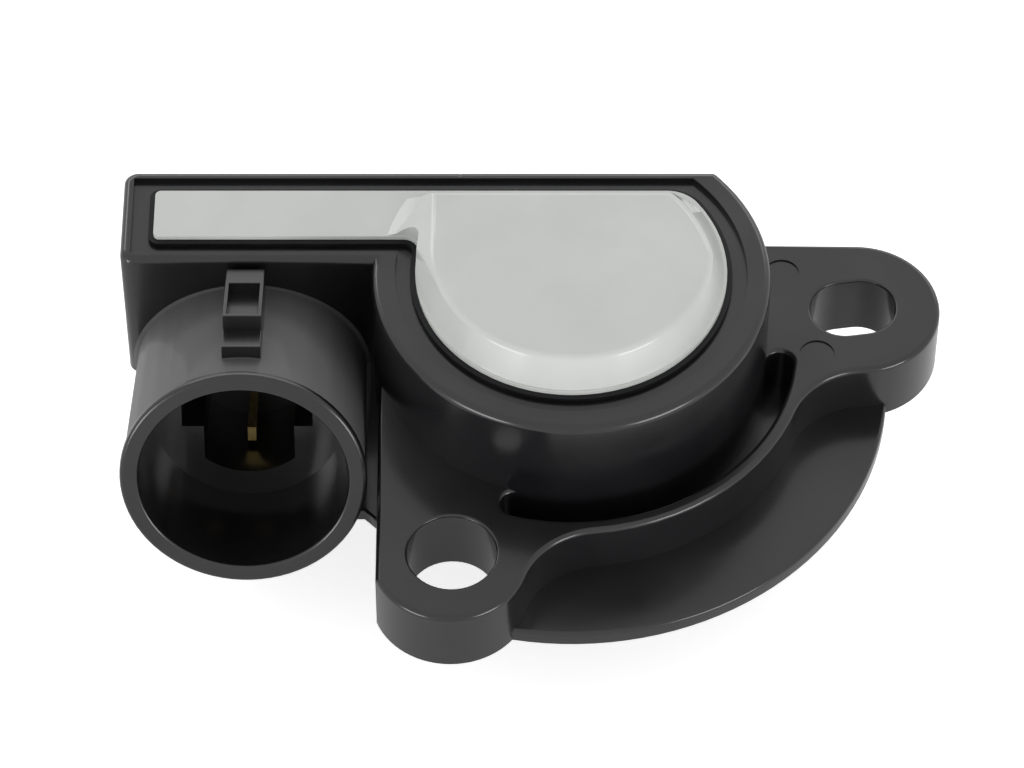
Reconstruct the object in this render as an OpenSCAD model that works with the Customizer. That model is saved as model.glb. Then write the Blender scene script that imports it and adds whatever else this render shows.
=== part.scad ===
// Throttle position sensor with an integral three-pin connector.
// Origin: the shaft axis at the mounting face (z = 0). +Z points up through the cover,
// +X to the slotted ear and +Y to the straight far side. All lengths are in millimetres.

/* [Tower and rim] */
// Height of the rim above the mounting face
rim_z = 17; // [15.5:0.1:19]
// Outer radius of the round tower
tower_r = 18.5; // [18.2:0.05:19]
// Distance from the shaft axis to the straight far side
far_y = 12.5; // [12:0.1:13]
// Radius that blends the far side into the round wall
far_corner_r = 3; // [1.5:0.5:4]
// Radius of the rim's outer top edge
rim_edge_r = 0.7; // [0.3:0.1:1]
// Width of the raised outer band of the rim on the tower
band_w = 2.15; // [1.6:0.05:2.4]
// Width of the raised outer band of the rim on the arm
arm_band_w = 0.95; // [0.7:0.05:1.1]
// Drop from the outer band to the inner ring
band_step = 0.55; // [0.3:0.05:0.8]

/* [Arm] */
// Left end of the arm, from the shaft axis
arm_end_x = 41.95; // [41:0.05:43]
// Near side of the arm, ahead of the shaft axis
arm_near_y = 1.5; // [1.2:0.1:1.9]
// Radius of the arm's upright corners
arm_corner_r = 1.2; // [0.6:0.1:1.6]

/* [Cover] */
// Radius of the cover's round edge
cover_r = 14.45; // [14.3:0.05:14.7]
// Far edge of the cover, from the shaft axis
cover_far_y = 9.7; // [9.5:0.05:9.9]
// Near edge of the cover's arm strip
cover_near_y = 4.05; // [3.9:0.05:4.2]
// Left end of the cover's arm strip, from the shaft axis
cover_end_x = 38.9; // [38.2:0.05:39.2]
// How far the cover's plate stands above the rim
cover_proud = 0.4; // [0.1:0.05:0.8]
// Thickness of the cover's plate
cover_t = 1.6; // [1.4:0.05:1.8]
// Height of the raised plateau above the plate
plateau_h = 3.1; // [2.4:0.1:3.8]
// Radius of the plateau's flat top
plateau_r = 12.9; // [12.2:0.1:13.2]
// Far edge of the plateau's flat top
plateau_far_y = 6.9; // [6.5:0.1:7.3]
// Radius at which the ramp from the arm strip starts
ramp_r = 17.1; // [16.4:0.1:17.8]
// Width of the sealant bead round the cover
bead_w = 0.5; // [0.3:0.05:0.6]

/* [Mounting ears] */
// Thickness of the ears and of the ridge between them
ear_t = 7; // [6:0.1:8]
// Radius of the circle through both fixing holes
hole_circle_r = 27.1; // [26.4:0.1:27.8]
// Direction of the round hole from the shaft axis, in degrees
low_hole_deg = -113.9; // [-118:0.1:-110]
// Direction of the slotted hole from the shaft axis, in degrees
slot_deg = 8.6; // [6:0.1:10]
// Radius of the round fixing hole
hole_r = 4.1; // [3.2:0.05:4.4]
// Width of the slotted hole
slot_w = 6.4; // [5.4:0.1:7]
// Length of the slotted hole over its round ends
slot_l = 8.1; // [7.4:0.1:8.8]
// Radius of the low ear's round end
ear_r = 7.25; // [6.8:0.05:7.6]
// How far the low ear's round end sits outside its hole
ear_shift = 0.35; // [0:0.05:0.6]
// Radius of the slotted ear's round end
slot_ear_r = 7.7; // [7.3:0.05:8]
// How far the slotted ear's round end sits outside its hole
slot_ear_shift = 0.55; // [0.2:0.05:0.9]
// Straight left side of the low ear, from the shaft axis
low_ear_side_x = 17.9; // [17.5:0.05:18.1]

/* [Ridge and flange] */
// Outer radius of the ridge between the ears
ridge_r = 22.5; // [22:0.1:23]
// Width of the wall left outside the curved groove
ridge_wall = 1.4; // [1:0.05:1.7]
// Floor of the curved groove above the mounting face
groove_floor_z = 1.8; // [1.5:0.1:3]
// Outer radius of the thin flange
flange_r = 30.1; // [29:0.1:30.6]
// Thickness of the thin flange
flange_t = 1.5; // [1:0.1:2]
// Fillet where the ridge runs into an ear
ridge_fillet_r = 7.5; // [5:0.25:9]

/* [Connector] */
// Centre of the connector's mouth, left of the shaft axis
plug_x = 30.2; // [30:0.05:30.5]
// Centre of the mouth, ahead of the shaft axis
plug_y = 17.1; // [16:0.1:18]
// Height of the centre of the mouth
plug_z = 7.7; // [7.2:0.1:8.2]
// Upward tilt of the connector, in degrees
plug_tilt = 18.5; // [16:0.5:21]
// Radius of the collar round the mouth
collar_r = 11.4; // [11.2:0.05:11.6]
// Length of the collar
collar_l = 0.9; // [0.5:0.1:1.6]
// Radius of the shroud behind the collar
shroud_r = 11.15; // [11:0.05:11.3]
// Radius of the shroud at its root
shroud_root_r = 10.85; // [10.6:0.05:11]
// Radius of the socket at the mouth
socket_r = 9.7; // [9.4:0.05:9.9]
// Radius of the socket at its floor
socket_floor_r = 9.1; // [8.9:0.05:9.3]
// Depth of the socket to its ring-shaped floor
socket_depth = 11.3; // [10:0.1:12]
// Depth of the keyed cavity to its floor
key_depth = 21.4; // [20:0.1:22]
// Near edge of the web beside the shroud, ahead of the shaft axis
web_near_y = 16.1; // [15.6:0.1:16.4]

/* [Terminals] */
// Spacing of the two upper terminals from the middle one
pin_pitch = 2.05; // [1.95:0.05:2.3]
// Drop of the upper terminals below the connector's axis
pin_drop = 0.5; // [0.3:0.1:0.9]
// Drop of the lower terminal below the connector's axis
low_pin_drop = 5.2; // [4.8:0.1:5.4]
// Width of a terminal blade
pin_w = 1.5; // [1.3:0.05:1.5]
// Thickness of a terminal blade
pin_t = 0.8; // [0.6:0.05:0.8]
// Depth of the upper terminals' tips behind the mouth
pin_tip = 16.8; // [16:0.1:17.5]
// Depth of the lower terminal's tip behind the mouth
low_pin_tip = 15.6; // [14.5:0.1:16.5]

/* [Rotor] */
// Radius of the rotor's hub
hub_r = 5; // [4.6:0.05:5.2]
// Radial running clearance of the hub in its bearing
hub_gap = 0.04; // [0.02:0.01:0.08]
// Radius of the rotor's disc
disc_r = 8.9; // [8.8:0.05:8.95]
// Thickness of the rotor's disc
disc_t = 1.6; // [1.2:0.1:1.8]
// Width of the drive slot
drive_w = 3.4; // [3:0.1:3.8]
// Length of the drive slot
drive_l = 7.2; // [6.6:0.1:7.4]
// Depth of the drive slot
drive_depth = 6; // [5:0.25:7]
// Radius of the pilot recess in the mounting face
pilot_r = 9.5; // [9:0.05:9.8]
// Depth of the pilot recess
pilot_depth = 2; // [1.8:0.1:2.1]
// Travel between the rotor's stops, in degrees
travel = 100; // [90:1:105]

/* [Element] */
// Radius of the board's round edge
board_r = 13.4; // [13.2:0.05:13.5]
// Thickness of the board
board_t = 1; // [0.8:0.05:1.1]
// Middle radius of the resistor track
resistor_r = 7.6; // [7.5:0.05:7.7]
// Middle radius of the collector track
collector_r = 5.4; // [5.3:0.05:5.5]
// Width of both tracks
track_w = 1.3; // [1.2:0.05:1.4]
// Thickness of the printed films
film_t = 0.08; // [0.05:0.01:0.1]

/* [Spring] */
// Mean radius of the return spring's coil
coil_r = 7.9; // [7.7:0.05:7.9]
// Diameter of the spring wire
wire_d = 0.7; // [0.5:0.05:0.7]
// Number of turns in the coil
turns = 3; // [2:1:3]

/* [Hidden] */
$fn = 72;

// Cuts run this far past the faces they open
eps = 0.5;
// Thickness of the slices that a hull joins
slice = 0.01;

// Heights
ring_z = rim_z - band_step;
cover_top_z = rim_z + cover_proud;
cover_seat_z = cover_top_z - cover_t;
plateau_z = cover_top_z + plateau_h;
arm_low_z = 0.4;
web_t = 1.4;
board_gap = 1.4;
board_z = cover_seat_z - board_gap - board_t;
board_top_z = board_z + board_t;
track_z = board_z - film_t;
bearing_top_z = board_z - 3.8;
washer_t = 0.3;
axial_play = 0.03;
disc_z = bearing_top_z + washer_t + axial_play;
disc_top_z = disc_z + disc_t;
plate_t = 0.3;
plate_top_z = disc_top_z + plate_t;
hub_low_z = pilot_depth + 0.1;
bearing_low_z = pilot_depth + 3;
cavity_floor_z = bearing_low_z + 1.2;
arm_floor_z = board_z - 2.6;
core_top_z = arm_floor_z - 1.2;

// Cavities
cavity_r = disc_r + 0.3;
seal_seat_r = hub_r + 2.2;
bearing_r = hub_r + 2;
seat_gap = 0.2;
board_far_y = cover_far_y - 0.6;
board_near_y = cover_near_y + 0.85;
board_strip_far_y = cover_far_y - 1;
board_end_x = cover_end_x - 1.4;
ledge_w = 0.8;
core_in_r = pilot_r + 1.5;
core_out_r = tower_r - 1.6;
core_far_y = far_y - 2.6;
rib_w = 1.2;
cover_edge_r = 0.55;
cover_inner_r = 1.4;
cover_corner_r = 3.5;
bead_rise = 0.5;
hollow_wall = 1.7;
hollow_roof = 1.4;

// Fixing holes and ears
function polar(r, a) = [r * cos(a), r * sin(a)];
low_hole = polar(hole_circle_r, low_hole_deg);
slot_hole = polar(hole_circle_r, slot_deg);
low_ear = polar(hole_circle_r + ear_shift, low_hole_deg);
slot_ear = polar(hole_circle_r + slot_ear_shift, slot_deg);
mark_r = 1.65;
mark_depth = 0.15;

// Curved groove
groove_out_r = ridge_r - ridge_wall;
groove_mid_r = (tower_r + groove_out_r) / 2;
groove_end_r = (groove_out_r - tower_r) / 2;
groove_from = low_hole_deg + 8.6;
groove_to = slot_deg - 16;

// Connector
rear_y = far_y - 3;
shroud_taper_l = 19;
shroud_l = 36;
mouth_land = 0.6;
pin_y = (board_near_y + board_strip_far_y) / 2 + 0.1;
pin_top_z = board_top_z + 0.55;
tab_w = 3.6;
tab_h = 2.6;
tab_step_h = 1.1;
tab_front = 3.3;
tab_rise = 6.2;
tab_back = 14.3;
tab_wall = 0.4;
tab_root = 0.6;
pocket_depth = 1.3;
pocket_back = 2.4;

// Rotor's stop, which stands in a cut in the disc's rim
stop_deg = 90;
stop_half = 4;
stop_play = 0.5;
stop_cut_r = 8.3;
stop_gap = 0.05;

// Retaining ring
ring_t = 0.6;
ring_top_z = bearing_low_z - 0.1;
ring_groove_r = hub_r - 0.6;
ring_out_r = hub_r + 1.5;
ring_open = 20;

// Seal
seal_low_z = pilot_depth + 0.05;
seal_h = 1.8;
seal_lip_r = hub_r + 0.03;
seal_wall = 1;

// Spring's tangs
tang_deg = 130;
tang_l = 1;
tang_gap = 0.1;
coil_gap = 0.05;
coil_steps = 24;
wire_sides = 8;

// Wiper
plate_out_r = 6.6;
plate_in_r = 2.6;
stake_r = 0.7;
stake_at = 5.5;
stake_h = 0.7;
stakes_deg = [-95, -5];
brush_gap = 0.03;
rest_deg = -140;
finger_n = 4;
finger_w = 0.22;
finger_pitch = 0.3;
finger_t = 0.14;
brush_w = (finger_n - 1) * finger_pitch + finger_w;
foot_from = -3.45;
foot_to = -1.85;
clip_t = 0.25;

// Tracks and conductors
track_from = -150;
track_to = -30;
conductor_w = 0.35;
conductor_arc_w = 0.9;
overlap_deg = 6;
slot_gap = 0.1;
pad_rim = 0.2;
solder_r = 1;
solder_h = 0.45;
solder_tip_r = 0.7;

// Ring between two radii from angle a0 to a1, standing on z0
module ring_sector(r0, r1, a0, a1, z0, h) {
    translate([0, 0, z0])
        rotate([0, 0, a0])
            rotate_extrude(angle = a1 - a0)
                translate([r0, 0])
                    square([r1 - r0, h]);
}

// Box between two opposite corners
module span(a, b) {
    translate(a)
        cube(b - a);
}

// Rectangle with round corners, from corner a to corner b
module round_rect(a, b, r) {
    translate(a + [r, 0])
        square(b - a - [2 * r, 0]);
    translate(a + [0, r])
        square(b - a - [0, 2 * r]);
    for (x = [a[0] + r, b[0] - r], y = [a[1] + r, b[1] - r])
        translate([x, y])
            circle(r);
}

// Frame of the connector: x to the right, y down and z into the socket
module in_connector() {
    translate([-plug_x, -plug_y, plug_z])
        rotate([-(90 + plug_tilt), 0, 0])
            children();
}

// Outlines

// Round plate cut straight on its far side
module d_plan(r, y) {
    intersection() {
        circle(r);
        translate([-r, -r])
            square([2 * r, r + y]);
    }
}

// The same plate with its far corners rounded like the cover's
module round_d_plan(r, y) {
    offset(r = cover_corner_r)
        offset(delta = -cover_corner_r)
            d_plan(r, y);
}

// Cover seen from above
module cover_plan() {
    offset(r = cover_edge_r)
        offset(delta = -cover_edge_r)
            offset(r = -cover_inner_r)
                offset(delta = cover_inner_r) {
                    round_d_plan(cover_r, cover_far_y);
                    translate([-cover_end_x, cover_near_y])
                        square([cover_end_x, cover_far_y - cover_near_y]);
                }
}

// Cover with the sealant bead round it
module pocket_plan() {
    offset(r = bead_w)
        cover_plan();
}

// Board seen from above, grown by g
module board_plan(g) {
    d_plan(board_r + g, board_far_y + g);
    translate([-board_end_x - g, board_near_y - g])
        square([board_end_x, board_strip_far_y - board_near_y + 2 * g]);
}

// Ears and the ridge between them
module ear_plan() {
    offset(r = -ridge_fillet_r)
        offset(delta = ridge_fillet_r) {
            intersection() {
                circle(ridge_r);
                polygon([
                    [0, 0], polar(2 * ridge_r, low_hole_deg - 4), polar(2 * ridge_r, low_hole_deg / 2),
                    polar(2 * ridge_r, slot_deg)
                ]);
            }
            intersection() {
                translate(low_ear)
                    circle(ear_r);
                translate([-low_ear_side_x, low_ear[1] - ear_r])
                    square(2 * ear_r);
            }
            polygon([
                [-low_ear_side_x, low_ear[1] + 1.8], [-low_ear_side_x, 0], [0, 0], [low_ear[0] + ear_r, low_ear[1]]
            ]);
            translate(slot_ear)
                circle(slot_ear_r);
            translate([0, slot_ear[1] - 2])
                square([slot_ear[0], slot_ear_r + 2]);
            polygon([[0, 0], [slot_ear[0], slot_ear[1] - slot_ear_r], slot_ear, [0, slot_ear[1]]]);
        }
}

// Thin flange between the ears
module flange_plan() {
    intersection() {
        circle(flange_r);
        polygon([
            [0, 0], polar(2 * flange_r, low_hole_deg + 4), polar(2 * flange_r, low_hole_deg / 2),
            polar(2 * flange_r, slot_deg - 12)
        ]);
    }
}

// Keyed cavity in the socket's floor, in the connector's frame
module key_plan() {
    polygon([[-3.85, -5.3], [3.85, -5.3], [6, -3.3], [6, 1.5], [4.25, 1.5], [-4.25, 1.5], [-6.3, 1.5], [-6.3, -3.3]]);
    intersection() {
        circle(6.6);
        translate([-4.25, 0])
            square([8.5, 8]);
    }
}

// Housing

// Round tower with its rounded rim edge
module tower() {
    edge = [for (a = [0 : 22.5 : 90]) [tower_r - rim_edge_r + rim_edge_r * cos(a),
                                       rim_z - rim_edge_r + rim_edge_r * sin(a)]];
    difference() {
        rotate_extrude($fn = 144)
            polygon(concat([[0, 0], [tower_r, 0]], edge, [[0, rim_z]]));
        span([-2 * tower_r, far_y, -eps], [2 * tower_r, 2 * tower_r, rim_z + eps]);
        far_corner();
        far_edge();
    }
}

// What the round on the straight far edge takes away, and the corner that the arm fills
module far_edge() {
    left = -tower_r / 2 - 1;
    translate([left, far_y - rim_edge_r, rim_z - rim_edge_r])
        rotate([90, 0, 90])
            linear_extrude(2 * tower_r)
                difference() {
                    square(rim_edge_r + eps);
                    circle(rim_edge_r);
                }
    span([-tower_r, far_y - 2 * rim_edge_r, rim_z - 2 * rim_edge_r], [left, far_y + eps, rim_z + eps]);
}

// What the blend at the tower's far corner takes away
module far_corner() {
    c = [sqrt(pow(tower_r - far_corner_r, 2) - pow(far_y - far_corner_r, 2)), far_y - far_corner_r];
    out = 2.4;
    translate([0, 0, -eps])
        linear_extrude(rim_z + 2 * eps)
            difference() {
                polygon([
                    c, [c[0], far_y + 1], [c[0] + out, far_y + 1], c * (tower_r + out) / (tower_r - far_corner_r)
                ]);
                translate(c)
                    circle(far_corner_r);
            }
}

// Arm with its rounded rim edge
module arm() {
    a = [-arm_end_x, arm_near_y];
    b = [-tower_r / 2, far_y];
    translate([0, 0, arm_low_z])
        linear_extrude(rim_z - rim_edge_r - arm_low_z)
            round_rect(a, b, arm_corner_r);
    hull()
        for (t = [0 : 22.5 : 90]) {
            inset = rim_edge_r * (1 - cos(t)) * [1, 1];
            translate([0, 0, rim_z - rim_edge_r * (1 - sin(t)) - slice])
                linear_extrude(slice)
                    round_rect(a + inset, b - inset, arm_corner_r - inset[0] / 2, $fn = 32);
        }
}

// Outside of the connector's shroud, carried back under the arm
module shroud() {
    intersection() {
        in_connector() {
            cylinder(r = collar_r, h = collar_l);
            translate([0, 0, collar_l])
                cylinder(r1 = shroud_r, r2 = shroud_root_r, h = shroud_taper_l);
            translate([0, 0, collar_l + shroud_taper_l])
                cylinder(r = shroud_root_r, h = shroud_l - shroud_taper_l);
        }
        span([-2 * arm_end_x, -2 * plug_y, -2 * rim_z], [0, rear_y, 2 * rim_z]);
    }
}

// Locking tab along the top of the shroud
module tab() {
    x = tab_w / 2;
    top = -collar_r - tab_h;
    root = -shroud_root_r + tab_root;
    in_connector() {
        span([-x, -collar_r - tab_step_h, tab_front], [x, root, tab_rise]);
        difference() {
            span([-x, top, tab_rise], [x, root, tab_back]);
            span([-x + tab_wall, top - eps, tab_rise + tab_wall],
                 [x - tab_wall, top + pocket_depth, tab_back - pocket_back]);
        }
    }
}

// Web between the shroud and the low ear
module web() {
    left = -plug_x + shroud_r - 2.3;
    right = -low_ear_side_x + eps;
    chamfer = 1.8;
    translate([0, 0, arm_low_z])
        linear_extrude(web_t)
            polygon([
                [left, arm_near_y + 1], [left, -web_near_y], [right - chamfer, -web_near_y],
                [right, -web_near_y - chamfer], [right, arm_near_y + 1]
            ]);
}

// Socket and keyed cavity of the connector
module socket() {
    in_connector() {
        translate([0, 0, -eps])
            cylinder(r = socket_r, h = eps + mouth_land);
        translate([0, 0, mouth_land])
            cylinder(r1 = socket_r, r2 = socket_floor_r, h = socket_depth - mouth_land);
        translate([0, 0, socket_depth - slice])
            linear_extrude(key_depth - socket_depth + slice)
                key_plan();
    }
}

// Hollows that open under the cover
module upper_cavity() {
    translate([0, 0, cavity_floor_z])
        difference() {
            cylinder(r = cavity_r, h = board_z + eps - cavity_floor_z);
            cylinder(r = bearing_r, h = bearing_top_z - cavity_floor_z);
            ring_sector(stop_cut_r + stop_gap, cavity_r + 1, stop_deg - stop_half, stop_deg + stop_half,
                        0, disc_top_z - cavity_floor_z - stop_gap);
        }
    translate([0, 0, arm_floor_z])
        linear_extrude(rim_z)
            translate([-board_end_x + ledge_w, board_near_y - seat_gap])
                square([board_end_x - ledge_w, board_strip_far_y - board_near_y + 2 * seat_gap]);
    translate([0, 0, board_z])
        linear_extrude(rim_z)
            board_plan(seat_gap);
    translate([0, 0, cover_seat_z])
        linear_extrude(rim_z)
            pocket_plan();
    translate([0, 0, ring_z])
        linear_extrude(rim_z) {
            d_plan(tower_r - band_w, far_y - arm_band_w);
            translate([-arm_end_x + arm_band_w, arm_near_y + arm_band_w])
                square([arm_end_x, far_y - arm_near_y - 2 * arm_band_w]);
        }
    translate([coil_r * cos(tang_deg), coil_r * sin(tang_deg), cavity_floor_z - tang_l])
        cylinder(r = wire_d / 2 + tang_gap, h = tang_l + eps);
}

// Hollows that open in the mounting face
module lower_cavity() {
    translate([0, 0, -eps])
        cylinder(r = pilot_r, h = pilot_depth + eps);
    cylinder(r = seal_seat_r, h = bearing_low_z);
    cylinder(r = hub_r + hub_gap, h = rim_z);
    difference() {
        intersection() {
            translate([0, 0, -eps])
                difference() {
                    cylinder(r = core_out_r, h = core_top_z + eps);
                    translate([0, 0, -eps])
                        cylinder(r = core_in_r, h = core_top_z + 3 * eps);
                }
            span([-tower_r, -tower_r, -2 * eps], [tower_r, core_far_y, rim_z]);
        }
        for (a = [30 : 40 : 350])
            rotate([0, 0, a])
                span([0, -rib_w / 2, -2 * eps], [tower_r, rib_w / 2, rim_z]);
        span([-tower_r, 0, -2 * eps], [1 - core_in_r, far_y, rim_z]);
    }
}

module groove() {
    ring_sector(tower_r, groove_out_r, groove_from, groove_to, groove_floor_z, rim_z);
    for (a = [groove_from, groove_to])
        translate(polar(groove_mid_r, a))
            translate([0, 0, groove_floor_z])
                cylinder(r = groove_end_r - 0.01, h = ear_t);
}

module fixing_holes() {
    translate([low_hole[0], low_hole[1], -eps])
        cylinder(r = hole_r, h = ear_t + 2 * eps);
    translate([slot_hole[0], slot_hole[1], -eps])
        rotate([0, 0, slot_deg])
            linear_extrude(ear_t + 2 * eps) {
                for (x = [-1, 1] * (slot_l - slot_w) / 2)
                    translate([x, 0])
                        circle(slot_w / 2);
                square([slot_l - slot_w, slot_w], center = true);
            }
}

// Shallow round marks on the slotted ear
module ejector_marks() {
    for (m = [[20.2, 8.3], [23.2, -1.6]])
        translate([m[0], m[1], ear_t - mark_depth])
            cylinder(r = mark_r, h = 1);
}

module housing() {
    color([0.1, 0.1, 0.11])
        difference() {
            union() {
                tower();
                arm();
                difference() {
                    linear_extrude(ear_t)
                        ear_plan();
                    groove();
                }
                linear_extrude(flange_t)
                    flange_plan();
                shroud();
                tab();
                web();
            }
            socket();
            upper_cavity();
            lower_cavity();
            fixing_holes();
            ejector_marks();
            terminal_shape(-pin_pitch, pin_drop, pin_w, pin_t, pin_tip);
            terminal_shape(pin_pitch, pin_drop, pin_w, pin_t, pin_tip);
            terminal_shape(0, low_pin_drop, pin_t, pin_w, low_pin_tip);
        }
}

// Cover and its sealant

module cover() {
    color([0.77, 0.77, 0.76])
        difference() {
            union() {
                translate([0, 0, cover_seat_z])
                    linear_extrude(cover_t)
                        cover_plan();
                intersection() {
                    plateau();
                    translate([0, 0, cover_seat_z])
                        linear_extrude(rim_z)
                            offset(delta = -0.1)
                                cover_plan();
                }
            }
            cover_hollow();
        }
}

// Raised part with its bevels, and a flatter foot on its ramp
module plateau() {
    foot = 0.2;
    foot_w = 0.5;
    foot_h = 0.35;
    hull() {
        translate([0, 0, cover_top_z - foot])
            linear_extrude(foot) {
                round_d_plan(cover_r - foot, cover_far_y - 1);
                ramp_plan(ramp_r);
            }
        translate([0, 0, plateau_z - slice])
            linear_extrude(slice)
                plateau_top();
    }
    hull() {
        translate([0, 0, cover_top_z - foot])
            linear_extrude(foot)
                ramp_plan(ramp_r + foot_w);
        translate([0, 0, cover_top_z + foot_h])
            linear_extrude(slice)
                ramp_plan(ramp_r - foot_w);
    }
}

// Ramp out to radius r, seen from above
module ramp_plan(r) {
    intersection() {
        circle(r);
        translate([-r, cover_near_y])
            square([r, cover_far_y - 1 - cover_near_y]);
    }
}

// Flat top of the plateau, with a flatter curve in its far right quarter
module plateau_top() {
    quarter_at = [-4.45, -4.5];
    quarter_r = 17.8;
    intersection() {
        union() {
            circle(plateau_r);
            translate([-plateau_r, 0])
                square([plateau_r, plateau_far_y]);
        }
        d_plan(2 * plateau_r, plateau_far_y);
        translate(quarter_at)
            circle(quarter_r);
    }
}

// Hollow under the plateau
module cover_hollow() {
    translate([0, 0, cover_seat_z - eps])
        linear_extrude(plateau_z - cover_seat_z - hollow_roof + eps)
            d_plan(plateau_r - hollow_wall, plateau_far_y - hollow_wall);
}

module cover_sealant() {
    color([0.05, 0.05, 0.05])
        translate([0, 0, cover_seat_z])
            linear_extrude(ring_z + bead_rise - cover_seat_z)
                difference() {
                    pocket_plan();
                    cover_plan();
                }
}

// Terminals

// Blade along the connector's axis that turns up into the arm
module terminal_shape(x, drop, w, t, tip) {
    d = [cos(plug_tilt), -sin(plug_tilt)];
    n = [sin(plug_tilt), cos(plug_tilt)];
    mitre = [-1, n[1] / (1 - n[0])];
    start = [-plug_y, plug_z] - n * drop + d * tip;
    run = (pin_y - start[0]) / d[0];
    bend = start + d * run;
    end = [pin_y, pin_top_z];
    translate([-plug_x + x - w / 2, 0, 0])
        rotate([90, 0, 90])
            linear_extrude(w)
                polygon([
                    start + n * t / 2, bend + mitre * t / 2, end - [t / 2, 0],
                    end + [t / 2, 0], bend - mitre * t / 2, start - n * t / 2
                ]);
}

module terminal_supply() {
    color([0.83, 0.68, 0.35])
        terminal_shape(-pin_pitch, pin_drop, pin_w, pin_t, pin_tip);
}

module terminal_signal() {
    color([0.83, 0.68, 0.35])
        terminal_shape(0, low_pin_drop, pin_t, pin_w, low_pin_tip);
}

module terminal_ground() {
    color([0.83, 0.68, 0.35])
        terminal_shape(pin_pitch, pin_drop, pin_w, pin_t, pin_tip);
}

// Element board, its films and the soldered ends

// Rectangle round each terminal's end, g wider than the blade on every side
module at_ends(g) {
    for (p = [[-pin_pitch, pin_w, pin_t], [0, pin_t, pin_w], [pin_pitch, pin_w, pin_t]])
        translate([-plug_x + p[0], pin_y])
            square([p[1] + 2 * g, p[2] + 2 * g], center = true);
}

module element_board() {
    color([0.86, 0.84, 0.78])
        translate([0, 0, board_z])
            linear_extrude(board_t)
                difference() {
                    board_plan(0);
                    at_ends(slot_gap);
                }
}

module resistor_track() {
    color([0.12, 0.12, 0.13])
        ring_sector(resistor_r - track_w / 2, resistor_r + track_w / 2, track_from, track_to, track_z, film_t);
}

module collector_track() {
    color([0.16, 0.15, 0.16])
        ring_sector(collector_r - track_w / 2, collector_r + track_w / 2, track_from, track_to, track_z, film_t);
}

// Rectangle of film between two opposite corners
module film(a, b) {
    translate([a[0], a[1], track_z])
        cube([b[0] - a[0], b[1] - a[1], film_t]);
}

// Printed conductors from the tracks' ends to the pads round the terminals
module conductor_traces() {
    w = conductor_w;
    arc = conductor_arc_w / 2;
    supply_y = board_near_y + 0.1;
    signal_y = supply_y + 0.65;
    ground_y = board_strip_far_y - w - 0.15;
    supply_x = -plug_x - pin_pitch - w / 2;
    ground_x = -plug_x + pin_pitch - w / 2;
    supply_deg = 180 - asin((supply_y + w) / (resistor_r + arc));
    color([0.78, 0.78, 0.8]) {
        difference() {
            union() {
                translate([0, 0, track_z])
                    linear_extrude(film_t)
                        at_ends(slot_gap + pad_rim);
                film([supply_x, supply_y], [supply_x + w, pin_y - pin_t / 2 - slot_gap]);
                film([supply_x, supply_y], [-resistor_r * cos(asin(supply_y / resistor_r)), supply_y + w]);
                film([-plug_x, signal_y], [w, signal_y + w]);
                film([ground_x, pin_y + pin_t / 2 + slot_gap], [ground_x + w, ground_y + w]);
                film([ground_x, ground_y], [w, ground_y + w]);
            }
            translate([0, 0, track_z - eps])
                linear_extrude(film_t + 2 * eps)
                    at_ends(slot_gap);
        }
        ring_sector(resistor_r - arc, resistor_r + arc, supply_deg, 360 + track_from, track_z, film_t);
        ring_sector(collector_r - arc, collector_r + arc, 90 - overlap_deg, 360 + track_from, track_z, film_t);
        film([-w, collector_r], [w, signal_y + w]);
        ring_sector(resistor_r - arc, resistor_r + arc, track_to, 90 + overlap_deg, track_z, film_t);
        film([-w, resistor_r], [w, ground_y + w]);
    }
}

module solder_joints() {
    color([0.75, 0.75, 0.76])
        difference() {
            for (x = [-pin_pitch, 0, pin_pitch])
                translate([-plug_x + x, pin_y, board_top_z])
                    cylinder(r1 = solder_r, r2 = solder_tip_r, h = solder_h);
            terminal_shape(-pin_pitch, pin_drop, pin_w, pin_t, pin_tip);
            terminal_shape(pin_pitch, pin_drop, pin_w, pin_t, pin_tip);
            terminal_shape(0, low_pin_drop, pin_t, pin_w, low_pin_tip);
        }
}

// Rotor and what turns with it

module rotor() {
    color([0.88, 0.86, 0.8])
        difference() {
            union() {
                rotate_extrude()
                    polygon([
                        [0, hub_low_z], [hub_r, hub_low_z], [hub_r, ring_top_z - ring_t],
                        [ring_groove_r, ring_top_z - ring_t], [ring_groove_r, ring_top_z], [hub_r, ring_top_z],
                        [hub_r, disc_z], [disc_r, disc_z], [disc_r, disc_top_z], [0, disc_top_z]
                    ]);
                for (a = stakes_deg)
                    translate([stake_at * cos(a), stake_at * sin(a), disc_top_z - eps])
                        cylinder(r = stake_r, h = eps + plate_t + stake_h);
            }
            translate([-drive_l / 2, -drive_w / 2, hub_low_z - eps])
                cube([drive_l, drive_w, drive_depth + eps]);
            // Cut in the rim that the housing's stop stands in
            ring_sector(stop_cut_r, disc_r + 1, stop_deg - stop_half - stop_play - travel,
                        stop_deg + stop_half + stop_play, disc_z - eps, disc_t + 2 * eps);
            translate([coil_r * cos(tang_deg), coil_r * sin(tang_deg), disc_z - eps])
                cylinder(r = wire_d / 2 + tang_gap, h = disc_t + 2 * eps);
        }
}

// Spring plate that carries both brushes
module wiper_plate() {
    foot_end = resistor_r + brush_w / 2;
    color([0.8, 0.79, 0.75])
        translate([0, 0, disc_top_z])
            linear_extrude(plate_t)
                difference() {
                    union() {
                        circle(plate_out_r);
                        rotate([0, 0, rest_deg])
                            translate([plate_in_r, foot_from])
                                square([foot_end - plate_in_r, foot_to - foot_from]);
                    }
                    circle(plate_in_r);
                    for (a = stakes_deg)
                        translate([stake_at * cos(a), stake_at * sin(a)])
                            circle(stake_r);
                }
}

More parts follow.
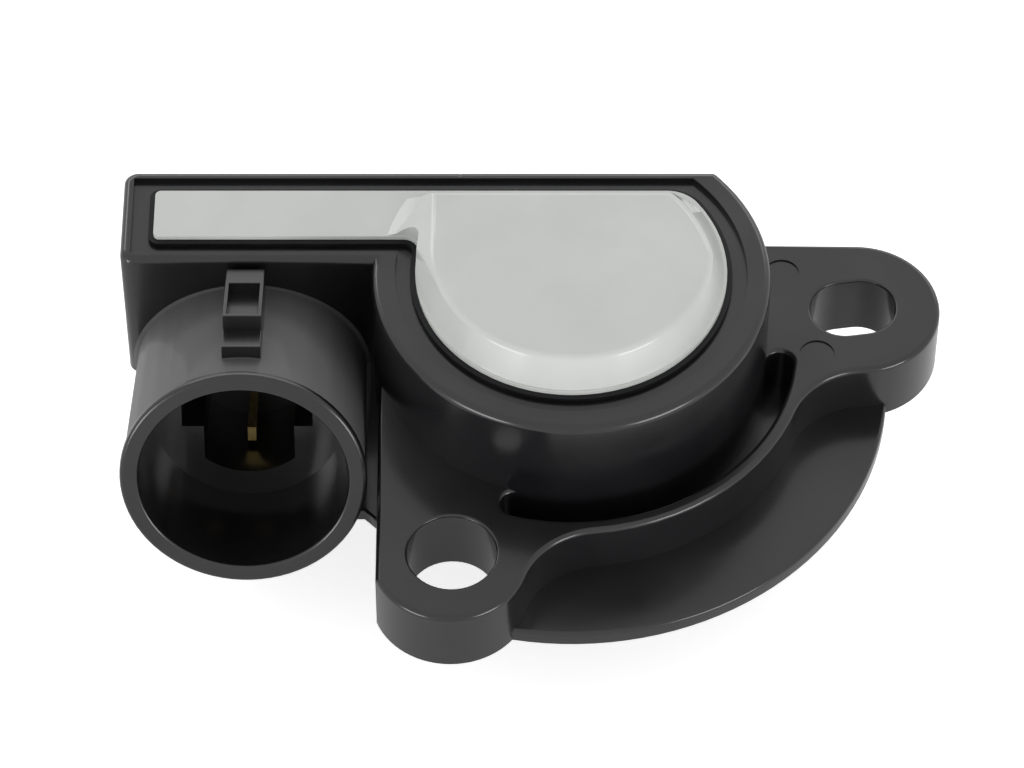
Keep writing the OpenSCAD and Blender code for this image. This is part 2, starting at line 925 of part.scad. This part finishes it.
// Fingers that rise from the plate to the track at radius r
module brush(r) {
    rise = track_z - brush_gap - plate_top_z;
    rotate([0, 0, rest_deg])
        translate([r, 0, plate_top_z]) {
            rotate([90, 0, 90])
                for (i = [0 : finger_n - 1])
                    translate([0, 0, i * finger_pitch - brush_w / 2])
                        linear_extrude(finger_w)
                            polygon([
                                [foot_from, 0], [foot_to, 0], [-0.1, rise - 0.16], [0.2, rise - 0.42],
                                [0.32, rise - 0.34], [0.1, rise], [-0.15, rise],
                                [foot_to - finger_t, finger_t], [foot_from, finger_t]
                            ]);
            span([-brush_w / 2, foot_from, 0], [brush_w / 2, foot_to - 0.8, finger_t]);
        }
}

module resistor_brush() {
    color([0.85, 0.75, 0.5])
        brush(resistor_r);
}

module collector_brush() {
    color([0.85, 0.75, 0.5])
        brush(collector_r);
}

// Spring clip that takes up play in the drive slot
module drive_clip() {
    x = drive_l / 2 - 0.1;
    y = drive_w / 2;
    low = hub_low_z + 0.6;
    top = hub_low_z + drive_depth;
    color([0.7, 0.71, 0.73]) {
        span([-x, y - clip_t, low], [x, y, top]);
        span([-x, -y, low], [x, clip_t - y, top]);
        span([-x, -y, top - clip_t], [x, y, top]);
    }
}

// Open ring that keeps the rotor in its bearing
module retaining_ring() {
    color([0.3, 0.3, 0.32])
        ring_sector(ring_groove_r, ring_out_r, ring_open, 360 - ring_open, ring_top_z - ring_t, ring_t);
}

// Parts fixed in the housing round the rotor

module thrust_washer() {
    color([0.75, 0.7, 0.55])
        translate([0, 0, bearing_top_z])
            difference() {
                cylinder(r = bearing_r, h = washer_t);
                translate([0, 0, -eps])
                    cylinder(r = hub_r + 0.2, h = washer_t + 2 * eps);
            }
}

module shaft_seal() {
    inner = seal_seat_r - seal_wall;
    top = seal_low_z + seal_h;
    color([0.14, 0.14, 0.14])
        rotate_extrude()
            polygon([
                [seal_lip_r, seal_low_z + 0.25], [seal_lip_r + 0.3, seal_low_z], [seal_seat_r, seal_low_z],
                [seal_seat_r, top], [inner, top], [inner, seal_low_z + 0.85], [seal_lip_r, seal_low_z + 0.45]
            ]);
}

// Coil with a tang down into the housing's floor and one up into the rotor's disc
spring_low_z = cavity_floor_z + wire_d / 2 + coil_gap;
spring_high_z = disc_z - wire_d / 2 - coil_gap;

// Point and direction of the wire at share t of the coil
function coil_deg(t) = tang_deg - 360 * turns * (1 - t);
function coil_point(t) = [
    coil_r * cos(coil_deg(t)), coil_r * sin(coil_deg(t)), spring_low_z + (spring_high_z - spring_low_z) * t
];
function coil_way(t) = [-sin(coil_deg(t)), cos(coil_deg(t)), 0];

// Outline of the wire round point p, square to direction d and k times as wide on a mitre
function wire_ring(p, d, k) =
    let (e = [p[0], p[1], 0] / coil_r, s = cross(e, d))
    [for (i = [0 : wire_sides - 1]) p + wire_d / 2 * (cos(45 * i) * e + k * sin(45 * i) * s)];

module return_spring() {
    up = [0, 0, 1];
    steps = coil_steps * turns;
    rings = concat(
        [wire_ring(coil_point(0) - tang_l * up, up, 1)],
        [wire_ring(coil_point(0), (up + coil_way(0)) / sqrt(2), sqrt(2))],
        [for (k = [1 : steps - 1]) wire_ring(coil_point(k / steps), coil_way(k / steps), 1)],
        [wire_ring(coil_point(1), (up + coil_way(1)) / sqrt(2), sqrt(2))],
        [wire_ring(coil_point(1) + tang_l * up, up, 1)]
    );
    last = len(rings) - 1;
    n = wire_sides;
    faces = concat(
        [[for (i = [n - 1 : -1 : 0]) i]],
        [[for (i = [0 : n - 1]) last * n + i]],
        [for (k = [0 : last - 1], i = [0 : n - 1])
            [k * n + i, k * n + (i + 1) % n, (k + 1) * n + (i + 1) % n, (k + 1) * n + i]]
    );
    color([0.6, 0.62, 0.64])
        polyhedron(points = [for (r = rings, q = r) q], faces = faces, convexity = 8);
}

housing();
cover();
cover_sealant();
terminal_supply();
terminal_signal();
terminal_ground();
element_board();
conductor_traces();
resistor_track();
collector_track();
solder_joints();
rotor();
wiper_plate();
resistor_brush();
collector_brush();
drive_clip();
retaining_ring();
thrust_washer();
return_spring();
shaft_seal();
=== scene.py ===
import math

import bmesh
import bpy
from mathutils import Matrix, Vector
from mathutils.geometry import delaunay_2d_cdt


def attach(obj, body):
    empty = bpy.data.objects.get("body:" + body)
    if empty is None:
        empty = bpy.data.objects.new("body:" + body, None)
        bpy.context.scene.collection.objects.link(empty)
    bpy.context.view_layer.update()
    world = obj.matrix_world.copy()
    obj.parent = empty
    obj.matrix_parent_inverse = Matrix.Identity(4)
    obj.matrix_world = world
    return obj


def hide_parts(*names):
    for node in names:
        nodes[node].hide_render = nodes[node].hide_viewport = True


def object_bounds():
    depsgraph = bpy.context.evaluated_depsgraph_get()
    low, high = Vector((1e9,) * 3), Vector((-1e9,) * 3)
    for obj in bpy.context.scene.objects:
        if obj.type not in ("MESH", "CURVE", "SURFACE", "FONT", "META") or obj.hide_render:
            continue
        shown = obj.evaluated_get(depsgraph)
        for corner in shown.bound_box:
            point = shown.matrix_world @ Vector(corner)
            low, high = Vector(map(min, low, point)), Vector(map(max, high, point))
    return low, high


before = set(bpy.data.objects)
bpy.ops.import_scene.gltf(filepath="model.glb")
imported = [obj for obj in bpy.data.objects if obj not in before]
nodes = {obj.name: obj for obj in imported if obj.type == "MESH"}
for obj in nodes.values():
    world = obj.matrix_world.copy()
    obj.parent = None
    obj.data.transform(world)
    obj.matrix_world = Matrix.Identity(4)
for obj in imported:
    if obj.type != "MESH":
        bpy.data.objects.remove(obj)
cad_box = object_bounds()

MM = 0.001
BODY = "sensor_body"


# Camera: level, straight on to the near side, looking down at the photograph's angle
ELEVATION = math.radians(51.42)
DISTANCE = 476.52 * MM
TARGET = Vector((-5.48, 0.36, 0.0)) * MM
LENS = 175.78
SENSOR = 36.0
CLIP_START = 0.01
CLIP_END = 10.0

camera_data = bpy.data.cameras.new("camera")
camera_data.lens = LENS
camera_data.sensor_width = SENSOR
camera_data.clip_start = CLIP_START
camera_data.clip_end = CLIP_END
camera = bpy.data.objects.new("camera", camera_data)
camera.location = TARGET + DISTANCE * Vector((0.0, -math.cos(ELEVATION), math.sin(ELEVATION)))
camera.rotation_euler = (math.pi / 2 - ELEVATION, 0.0, 0.0)
bpy.context.collection.objects.link(camera)
bpy.context.scene.camera = camera
bpy.context.scene.view_settings.view_transform = "Standard"


# Materials

# Places of the Mix node's sockets: its factor, then two inputs and an output for numbers and colours
FACTOR = 0
NUMBER_A, NUMBER_B, NUMBER_OUT = 2, 3, 0
COLOR_A, COLOR_B, COLOR_OUT = 6, 7, 2

# Roughness of the clear coat on the satin moulding
COAT_ROUGH = 0.12
# Grain of each kind of surface, in waves per millimetre, and its height in millimetres
MOULD_WAVES = 5.0
METAL_WAVES = 1.5
METAL_HEIGHT = 0.004
INK_WAVES = 9.0
INK_HEIGHT = 0.003
# Detail of the noise: slow changes of gloss, and each kind of grain
SLOW_DETAIL = 3.0
MOULD_DETAIL = 4.0
METAL_DETAIL = 5.0
INK_DETAIL = 3.0


def new_material(name):
    material = bpy.data.materials.new(name)
    material.use_nodes = True
    tree = material.node_tree
    shader = tree.nodes["Principled BSDF"]
    return material, tree, shader


def link(tree, out, into):
    tree.links.new(out, into)


def calculated(tree, operation, first, second):
    """A Math node on a socket and a second socket or a number."""
    node = tree.nodes.new("ShaderNodeMath")
    node.operation = operation
    link(tree, first, node.inputs[0])
    if isinstance(second, float):
        node.inputs[1].default_value = second
    else:
        link(tree, second, node.inputs[1])
    return node.outputs[0]


def object_noise(tree, waves, detail, size=(1.0, 1.0, 1.0)):
    """Noise in the object's own space, in waves per millimetre."""
    place = tree.nodes.new("ShaderNodeTexCoord")
    stretch = tree.nodes.new("ShaderNodeMapping")
    stretch.inputs["Scale"].default_value = [s / MM for s in size]
    grain = tree.nodes.new("ShaderNodeTexNoise")
    grain.inputs["Scale"].default_value = waves
    grain.inputs["Detail"].default_value = detail
    link(tree, place.outputs["Object"], stretch.inputs["Vector"])
    link(tree, stretch.outputs["Vector"], grain.inputs["Vector"])
    return grain.outputs["Fac"]


def spread(tree, value, low, high, start=0.3, end=0.7):
    """A value from start to end, spread over low to high."""
    node = tree.nodes.new("ShaderNodeMapRange")
    node.inputs["From Min"].default_value = start
    node.inputs["From Max"].default_value = end
    node.inputs["To Min"].default_value = low
    node.inputs["To Max"].default_value = high
    link(tree, value, node.inputs["Value"])
    return node.outputs["Result"]


def shaded(tree, shader, value, dark, light, rough):
    """Shade and gloss that follow a noise value."""
    node = tree.nodes.new("ShaderNodeMix")
    node.data_type = "RGBA"
    node.inputs[COLOR_A].default_value = (*dark, 1.0)
    node.inputs[COLOR_B].default_value = (*light, 1.0)
    link(tree, spread(tree, value, 0.0, 1.0), node.inputs[FACTOR])
    link(tree, node.outputs[COLOR_OUT], shader.inputs["Base Color"])
    link(tree, spread(tree, value, *rough), shader.inputs["Roughness"])


def bump(tree, shader, value, height):
    node = tree.nodes.new("ShaderNodeBump")
    node.inputs["Distance"].default_value = height * MM
    node.inputs["Strength"].default_value = 1.0
    link(tree, value, node.inputs["Height"])
    link(tree, node.outputs["Normal"], shader.inputs["Normal"])


def moulded(name, dark, light, rough, height, coat=0.0, level=0.5, cloud=0.12):
    """Moulded plastic: fine mould texture, slow changes of gloss and a little change of shade."""
    material, tree, shader = new_material(name)
    slow = object_noise(tree, cloud, SLOW_DETAIL)
    fine = object_noise(tree, MOULD_WAVES, MOULD_DETAIL)
    shaded(tree, shader, slow, dark, light, rough)
    bump(tree, shader, fine, height)
    shader.inputs["Coat Weight"].default_value = coat
    shader.inputs["Coat Roughness"].default_value = COAT_ROUGH
    shader.inputs["Specular IOR Level"].default_value = level
    return material


def metal(name, dark, light, rough, stretch, height=METAL_HEIGHT):
    """Sheet or wire: directional grain in shade and gloss."""
    material, tree, shader = new_material(name)
    grain = object_noise(tree, METAL_WAVES, METAL_DETAIL, stretch)
    shaded(tree, shader, grain, dark, light, rough)
    bump(tree, shader, grain, height)
    shader.inputs["Metallic"].default_value = 1.0
    return material


def film(name, dark, light, rough, metallic=0.0):
    """Printed film: speckle of the ink and a slight waviness."""
    material, tree, shader = new_material(name)
    speckle = object_noise(tree, INK_WAVES, INK_DETAIL)
    shaded(tree, shader, speckle, dark, light, rough)
    bump(tree, shader, speckle, INK_HEIGHT)
    shader.inputs["Metallic"].default_value = metallic
    return material


BLACK = moulded(
    "black_moulding", (0.006, 0.006, 0.007), (0.010, 0.010, 0.011), (0.19, 0.27), 0.0007, coat=0.2)
GREY = moulded("grey_moulding", (0.55, 0.565, 0.54), (0.595, 0.61, 0.585), (0.15, 0.21), 0.0005)
NATURAL = moulded("natural_moulding", (0.70, 0.66, 0.55), (0.78, 0.75, 0.66), (0.42, 0.55), 0.004)
BEAD = moulded(
    "cured_bead", (0.005, 0.005, 0.006), (0.010, 0.010, 0.011), (0.45, 0.65), 0.012,
    level=0.2, cloud=0.5)
RUBBER = moulded("seal_rubber", (0.015, 0.015, 0.015), (0.028, 0.027, 0.026), (0.6, 0.8), 0.006)
BOARD = film("board_ceramic", (0.70, 0.67, 0.58), (0.78, 0.76, 0.68), (0.45, 0.6))
CARBON = film("carbon_film", (0.018, 0.018, 0.02), (0.04, 0.04, 0.043), (0.3, 0.42))
SILVER = film("silver_film", (0.62, 0.62, 0.63), (0.78, 0.78, 0.8), (0.3, 0.45), metallic=1.0)
# Gold plating, its colour darkened as painted shade for the terminals deep in the socket
GOLD_PAINTED_SHADE = metal("gold_plating_painted_shade", (0.34, 0.24, 0.08), (0.46, 0.35, 0.14), (0.34, 0.46), (1.0, 1.0, 0.15))
BRUSH = metal("brush_alloy", (0.68, 0.58, 0.38), (0.82, 0.73, 0.52), (0.2, 0.32), (1.0, 0.2, 1.0))
SHEET = metal("spring_sheet", (0.52, 0.51, 0.48), (0.70, 0.69, 0.66), (0.22, 0.36), (0.15, 1.0, 1.0))
WIRE = metal("spring_wire", (0.40, 0.41, 0.43), (0.60, 0.61, 0.63), (0.2, 0.34), (1.0, 1.0, 1.0))
DARK = metal("phosphated_steel", (0.07, 0.07, 0.075), (0.14, 0.14, 0.145), (0.4, 0.55), (1.0, 1.0, 1.0))
WASHER = metal("washer_brass", (0.50, 0.40, 0.20), (0.66, 0.55, 0.32), (0.25, 0.4), (0.2, 1.0, 1.0))
TIN = metal(
    "tin_solder", (0.60, 0.60, 0.61), (0.76, 0.76, 0.78), (0.16, 0.3), (1.0, 1.0, 1.0), height=0.01)

FINISH = {
    "cover_sealant": BEAD,
    "terminal_supply": GOLD_PAINTED_SHADE, "terminal_signal": GOLD_PAINTED_SHADE, "terminal_ground": GOLD_PAINTED_SHADE,
    "element_board": BOARD, "conductor_traces": SILVER,
    "resistor_track": CARBON, "collector_track": CARBON, "solder_joints": TIN,
    "rotor": NATURAL, "wiper_plate": SHEET, "resistor_brush": BRUSH, "collector_brush": BRUSH,
    "drive_clip": SHEET, "retaining_ring": DARK, "thrust_washer": WASHER,
    "return_spring": WIRE, "shaft_seal": RUBBER,
}


def paint(obj, material):
    if obj.data.materials:
        for i in range(len(obj.data.materials)):
            obj.data.materials[i] = material
    else:
        obj.data.materials.append(material)


for name, material in FINISH.items():
    paint(nodes[name], material)


# Places on the housing and the cover, in millimetres

EAR_TOP = 7.0
FLANGE_TOP = 1.5
WEB_TOP = 1.8
PLATEAU_TOP = 20.5
PLATE_TOP = 17.4
HOLES = (Vector((-10.98, -24.78)), Vector((26.8, 4.05)))
HOLE_REACH = 4.3
MARKS = (Vector((20.2, 8.3)), Vector((23.2, -1.6)))
MARK_REACH = 1.8
MOUTH = Vector((-30.2, -17.1, 7.7))
TILT = math.radians(18.5)
TURN = -(math.pi / 2 + TILT)
COLLAR_R = 11.4
COLLAR_L = 0.9
SOCKET_R = 9.7
RING_REACH = 0.1
# The locking tab's space in the connector's frame
TAB_HALF = 1.85
TAB_TOP, TAB_FOOT = -15.0, -10.9
TAB_FRONT, TAB_BACK = 2.0, 15.0

# From the row frame to the connector's: x to the right, y down and z into the socket
TO_CONNECTOR = (Matrix.Translation(MOUTH) @ Matrix.Rotation(TURN, 4, "X")).inverted()


# The shroud's outside has a matt mould texture, in the same plastic, and a lighter colour there that is a
# painted sheen

# Where it lies: from the mouth along the connector's axis, and out from that axis, in millimetres
SHROUD_FROM = 1.0
SHROUD_TO = 26.0
SHROUD_IN = 10.3
SHROUD_OUT = 11.3
STEP_HALF = 0.05
MATT_ROUGH = 0.7
# Colour of the shroud's outside: a painted sheen that makes it lighter than the rest of the black
# moulding
MATT_PAINTED_SHEEN = (0.09, 0.09, 0.093, 1.0)


def step(tree, value, place, low, high):
    """Goes from low to high where the value, in metres, passes a place in millimetres."""
    return spread(tree, value, low, high, (place - STEP_HALF) * MM, (place + STEP_HALF) * MM)


def between(tree, value, start, end):
    """One where the value, in metres, lies between two places in millimetres, and zero elsewhere."""
    return calculated(
        tree, "MULTIPLY", step(tree, value, start, 0.0, 1.0), step(tree, value, end, 1.0, 0.0))


def matt_shroud_painted_sheen(material):
    tree = material.node_tree
    shader = tree.nodes["Principled BSDF"]
    place = tree.nodes.new("ShaderNodeTexCoord")
    turn = tree.nodes.new("ShaderNodeMapping")
    turn.vector_type = "TEXTURE"
    turn.inputs["Location"].default_value = MOUTH * MM
    turn.inputs["Rotation"].default_value = (TURN, 0.0, 0.0)
    parts = tree.nodes.new("ShaderNodeSeparateXYZ")
    across = tree.nodes.new("ShaderNodeCombineXYZ")
    radius = tree.nodes.new("ShaderNodeVectorMath")
    radius.operation = "LENGTH"
    link(tree, place.outputs["Object"], turn.inputs["Vector"])
    link(tree, turn.outputs["Vector"], parts.inputs["Vector"])
    link(tree, parts.outputs["X"], across.inputs["X"])
    link(tree, parts.outputs["Y"], across.inputs["Y"])
    link(tree, across.outputs["Vector"], radius.inputs[0])
    length = between(tree, parts.outputs["Z"], SHROUD_FROM, SHROUD_TO)
    shell = between(tree, radius.outputs["Value"], SHROUD_IN, SHROUD_OUT)
    mask = calculated(tree, "MULTIPLY", length, shell)
    # Painted sheen: the shroud's outside takes the lighter colour, while its matt roughness is real
    shade = tree.nodes.new("ShaderNodeMix")
    shade.data_type = "RGBA"
    shade.inputs[COLOR_B].default_value = MATT_PAINTED_SHEEN
    link(tree, mask, shade.inputs[FACTOR])
    link(tree, shader.inputs["Base Color"].links[0].from_socket, shade.inputs[COLOR_A])
    link(tree, shade.outputs[COLOR_OUT], shader.inputs["Base Color"])
    rough = tree.nodes.new("ShaderNodeMix")
    rough.inputs[NUMBER_B].default_value = MATT_ROUGH
    link(tree, mask, rough.inputs[FACTOR])
    link(tree, shader.inputs["Roughness"].links[0].from_socket, rough.inputs[NUMBER_A])
    link(tree, rough.outputs[NUMBER_OUT], shader.inputs["Roughness"])


matt_shroud_painted_sheen(BLACK)


# Pieces that stand for CAD nodes, with rounded edges

# Corners closer than these are one corner, before and after the rounding
MERGE = 0.02 * MM
CLOSE = 0.004 * MM
# How far a corner may lie off a height or depth, in millimetres
LEVEL = 0.03
# Angle from which an edge is rounded, and the smaller one for the plateau's bevel
SHARP = math.radians(40.0)
SHALLOW = math.radians(20.0)
# Angle up to which neighbouring faces are one flat face
FLAT = math.radians(0.3)
# Area from which a face of at most four corners counts as flat, in square millimetres
BIG = 60.0
# Cosines of the angles up to which faces share a normal, with each other and with a flat face
SMOOTH = math.cos(math.radians(38.0))
TANGENT = math.cos(math.radians(50.0))
# Outline points closer than this, in millimetres, are one point
SAME_POINT = 1e-5

# Widths of the rounds, in millimetres, and their segments
EAR_ROUND = 0.5
HOLE_ROUND = 0.25
FLANGE_ROUND = 0.35
WEB_ROUND = 0.3
COLLAR_ROUND = 0.4
COLLAR_BACK_ROUND = 0.15
MOUTH_ROUND = 0.3
TAB_ROUND = 0.12
PLATEAU_ROUND = 0.45
PLATE_ROUND = 0.08
SEGMENTS = 3
FEW_SEGMENTS = 2


def clean_mesh(node):
    """A CAD node's mesh with its doubled corners merged and its flat faces whole."""
    bm = bmesh.new()
    bm.from_mesh(nodes[node].data)
    bmesh.ops.remove_doubles(bm, verts=bm.verts, dist=MERGE)
    bmesh.ops.dissolve_degenerate(bm, edges=bm.edges, dist=MERGE)
    bmesh.ops.dissolve_limit(
        bm, angle_limit=FLAT, use_dissolve_boundaries=False, verts=bm.verts, edges=bm.edges)
    return bm


def round_edges(bm, width, test, segments=SEGMENTS, sharp=SHARP):
    """Rounds the sharp outward edges whose middle and two ends, in millimetres, pass the test."""
    chosen = []
    for edge in bm.edges:
        if not edge.is_manifold or not edge.is_convex or edge.calc_face_angle(0.0) < sharp:
            continue
        ends = [v.co / MM for v in edge.verts]
        if all(test(p) for p in (*ends, (ends[0] + ends[1]) / 2)):
            chosen.append(edge)
    if chosen:
        bmesh.ops.bevel(
            bm, geom=chosen, offset=width * MM, offset_type="OFFSET", segments=segments, profile=0.5,
            affect="EDGES", clamp_overlap=False)


def split_flat_faces(bm, flat):
    """Cuts each face of more than four corners into triangles that stay inside its outline."""
    bmesh.ops.remove_doubles(bm, verts=bm.verts, dist=CLOSE)
    bmesh.ops.dissolve_degenerate(bm, edges=bm.edges, dist=CLOSE)
    for face in bm.faces:
        face[flat] = int(len(face.verts) > 4 or face.calc_area() > BIG * MM * MM)
    doubled = {}
    for face in [f for f in bm.faces if len(f.verts) > 4]:
        turn = face.normal.to_track_quat("Z", "Y").inverted()
        corners = list(face.verts)
        outline = [(turn @ v.co).to_2d() / MM for v in corners]
        depth = (turn @ corners[0].co).z
        points, _, triangles, sources, _, _ = delaunay_2d_cdt(
            outline, [], [list(range(len(outline)))], 1, SAME_POINT)
        places = []
        for point, source in zip(points, sources):
            if source:
                places.append(corners[source[0]])
                doubled.update({corners[i]: corners[source[0]] for i in source[1:]})
            else:
                places.append(bm.verts.new(turn.inverted() @ Vector((point.x * MM, point.y * MM, depth))))
        normal = face.normal.copy()
        bmesh.ops.delete(bm, geom=[face], context="FACES_ONLY")
        for triangle in triangles:
            made = bm.faces.new([places[i] for i in triangle])
            made[flat] = 1
            made.normal_update()
            if made.normal.dot(normal) < 0.0:
                made.normal_flip()
    bmesh.ops.weld_verts(bm, targetmap={v: w for v, w in doubled.items() if w not in doubled})


def corner_normals(bm, flat):
    """A normal for each face corner: flat faces keep their own, rounds run over from face to face."""
    normals = []
    for face in bm.faces:
        for corner in face.loops:
            if face[flat]:
                normals.append(face.normal.copy())
                continue
            around = [f for f in corner.vert.link_faces if f.normal.dot(face.normal) > SMOOTH]
            level = [f for f in corner.vert.link_faces if f[flat] and f.normal.dot(face.normal) > TANGENT]
            total = Vector((0.0, 0.0, 0.0))
            for f in level or around:
                total += f.normal * f.calc_area()
            normals.append(total.normalized() if total.length > 0.0 else face.normal.copy())
    return normals


def finished_piece(bm, name, node, material):
    """The mesh as a piece that stands for a CAD node and rides with it."""
    flat = bm.faces.layers.int.new("flat")
    split_flat_faces(bm, flat)
    bm.normal_update()
    normals = corner_normals(bm, flat)
    for face in bm.faces:
        face.smooth = True
    bm.faces.layers.int.remove(flat)
    mesh = bpy.data.meshes.new(name)
    bm.to_mesh(mesh)
    bm.free()
    mesh.normals_split_custom_set(normals)
    obj = bpy.data.objects.new(name, mesh)
    bpy.context.collection.objects.link(obj)
    paint(obj, material)
    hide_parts(node)
    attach(obj, BODY)


def at(p, height):
    return abs(p.z - height) < LEVEL


def near_any(p, centres, reach):
    return any((Vector((p.x, p.y)) - centre).length < reach for centre in centres)


def on_hole(p):
    return near_any(p, HOLES, HOLE_REACH)


def on_mark(p):
    return near_any(p, MARKS, MARK_REACH)


def in_tab(p):
    q = TO_CONNECTOR @ p
    return abs(q.x) < TAB_HALF and TAB_TOP < q.y < TAB_FOOT and TAB_FRONT < q.z < TAB_BACK


def ring_at(p, radius, depth):
    q = TO_CONNECTOR @ p
    return abs(math.hypot(q.x, q.y) - radius) < RING_REACH and abs(q.z - depth) < LEVEL


bm = clean_mesh("housing")
round_edges(bm, EAR_ROUND, lambda p: at(p, EAR_TOP) and not on_hole(p) and not on_mark(p))
round_edges(bm, HOLE_ROUND, lambda p: at(p, EAR_TOP) and on_hole(p))
round_edges(bm, FLANGE_ROUND, lambda p: at(p, FLANGE_TOP))
round_edges(bm, WEB_ROUND, lambda p: at(p, WEB_TOP))
round_edges(bm, COLLAR_ROUND, lambda p: ring_at(p, COLLAR_R, 0.0))
round_edges(bm, COLLAR_BACK_ROUND, lambda p: ring_at(p, COLLAR_R, COLLAR_L), FEW_SEGMENTS)
round_edges(bm, MOUTH_ROUND, lambda p: ring_at(p, SOCKET_R, 0.0))
round_edges(bm, TAB_ROUND, in_tab, FEW_SEGMENTS)
finished_piece(bm, "housing_moulding", "housing", BLACK)

bm = clean_mesh("cover")
round_edges(bm, PLATEAU_ROUND, lambda p: at(p, PLATEAU_TOP), sharp=SHALLOW)
round_edges(bm, PLATE_ROUND, lambda p: at(p, PLATE_TOP), FEW_SEGMENTS)
finished_piece(bm, "cover_moulding", "cover", GREY)


# Floor, light and background

# Half the floor's side, in metres
FLOOR_HALF = 2.0
FLOOR_SHADE = (0.9, 0.9, 0.9, 1.0)
FLOOR_ROUGH = 0.8
# Glow that the camera sees on the floor, which the lamps make up to white
FLOOR_GLOW = 0.62
# Share of that glow that mirrored rays see, so that the part's underside stays dark
MIRROR_GLOW = 0.15
# Strength of the room's light on the part, where the background that the camera sees has 1
ROOM = 0.72
WHITE = (1.0, 1.0, 1.0, 1.0)


def seen_or_mirrored(tree, share):
    """One for camera rays, and the given share for glossy and transmission rays."""
    path = tree.nodes.new("ShaderNodeLightPath")
    mirrored = calculated(
        tree, "MAXIMUM", path.outputs["Is Glossy Ray"], path.outputs["Is Transmission Ray"])
    part = calculated(tree, "MULTIPLY", mirrored, share)
    return calculated(tree, "MAXIMUM", path.outputs["Is Camera Ray"], part)


low = cad_box[0][2]
mesh = bpy.data.meshes.new("floor")
corners = [(x * FLOOR_HALF, y * FLOOR_HALF, low) for x, y in ((-1, -1), (1, -1), (1, 1), (-1, 1))]
mesh.from_pydata(corners, [], [(0, 1, 2, 3)])
floor = bpy.data.objects.new("floor", mesh)
bpy.context.collection.objects.link(floor)
floor_material, tree, shader = new_material("pale_floor")
shader.inputs["Base Color"].default_value = FLOOR_SHADE
shader.inputs["Roughness"].default_value = FLOOR_ROUGH
glow = calculated(tree, "MULTIPLY", seen_or_mirrored(tree, MIRROR_GLOW), FLOOR_GLOW)
link(tree, glow, shader.inputs["Emission Strength"])
shader.inputs["Emission Color"].default_value = WHITE
floor.data.materials.append(floor_material)


def area_light(name, place, size, power):
    """A softbox aimed at the origin: its place and size in metres and its power in watts."""
    data = bpy.data.lights.new(name, "AREA")
    data.shape = "RECTANGLE"
    data.size, data.size_y = size
    data.energy = power
    light = bpy.data.objects.new(name, data)
    light.location = place
    light.rotation_euler = (-Vector(place)).to_track_quat("-Z", "Y").to_euler()
    bpy.context.collection.objects.link(light)


area_light("back_softbox", (0.0, 1.0, 0.62), (1.6, 0.35), 3.4)
area_light("back_left_strip", (-0.58, 0.62, 0.52), (0.12, 0.3), 0.4)
area_light("left_softbox", (-0.62, -0.66, 0.1), (0.42, 0.3), 2.9)
area_light("right_softbox", (0.62, -0.66, 0.1), (0.42, 0.3), 2.9)

world = bpy.data.worlds.new("studio")
bpy.context.scene.world = world
world.use_nodes = True
tree = world.node_tree
background = tree.nodes["Background"]
strength = tree.nodes.new("ShaderNodeMapRange")
strength.inputs["To Min"].default_value = ROOM
strength.inputs["To Max"].default_value = 1.0
link(tree, seen_or_mirrored(tree, 1.0), strength.inputs["Value"])
link(tree, strength.outputs["Result"], background.inputs["Strength"])
background.inputs["Color"].default_value = WHITE
